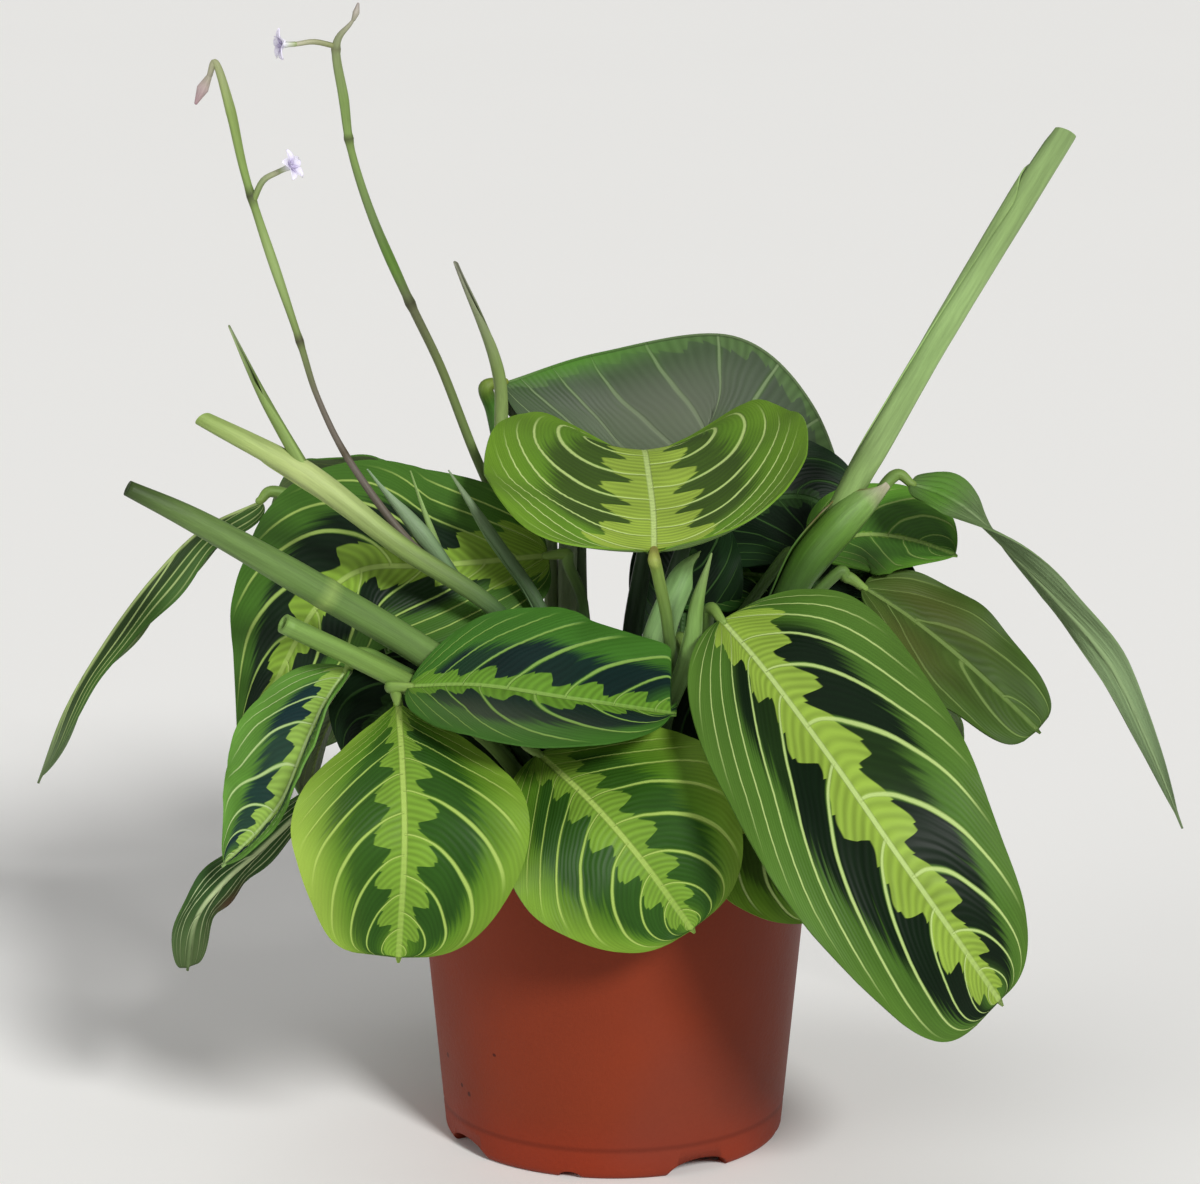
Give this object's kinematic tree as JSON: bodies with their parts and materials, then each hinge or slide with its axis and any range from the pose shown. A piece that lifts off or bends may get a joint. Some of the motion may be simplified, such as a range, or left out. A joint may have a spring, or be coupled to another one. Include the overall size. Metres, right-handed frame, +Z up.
{
  "type": "potted prayer plant",
  "caption": "Bushy prayer plant with herringbone-marked oval leaves, rolled young leaves and thin flower stalks, in a thin terracotta-coloured nursery pot that stands on its foot ring.",
  "frame": {"origin": "centre of the pot's base, on the surface that the pot stands on; the foliage is balanced about it", "axes": "+Z up along the pot's axis, -Y towards the viewer of the picture, +X to the viewer's right, across the plant's widest spread"},
  "size_m": [0.3328, 0.2292, 0.3281],
  "materials": {
    "pot": "satin thermoformed plastic",
    "soil": "moist peat and bark",
    "leaf": "satin leaf with lime midrib, dark patches and pale veins",
    "stem": "satin pale green stem",
    "flower": "matte whitish lavender petals"
  },
  "bodies": {
    "root": {"pot": "pot", "soil": "soil", "stems_left_front": "stem", "stems_front": "stem", "stems_left": "stem", "stems_middle": "stem", "stems_right": "stem", "stems_back_left": "stem", "stems_back_right": "stem", "blade_top_centre": "leaf", "blade_back_dome": "leaf", "blade_left_large": "leaf", "blade_far_left": "leaf", "blade_left_lower": "leaf", "blade_left_hanging": "leaf", "blade_front_left": "leaf", "blade_front_centre": "leaf", "blade_front_middle": "leaf", "blade_right_large": "leaf", "blade_right_under": "leaf", "blade_right_olive": "leaf", "blade_right_upper": "leaf", "blade_far_right": "leaf", "blade_back_left": "leaf", "blade_back_middle": "leaf", "blade_back_right": "leaf", "blade_back_high": "leaf", "blade_inner_right": "leaf", "blade_side_right": "leaf", "blade_side_left": "leaf", "bloom_1": "flower", "bloom_2": "flower", "bud_1": "flower", "bud_2": "flower"}
  },
  "joints": []
}
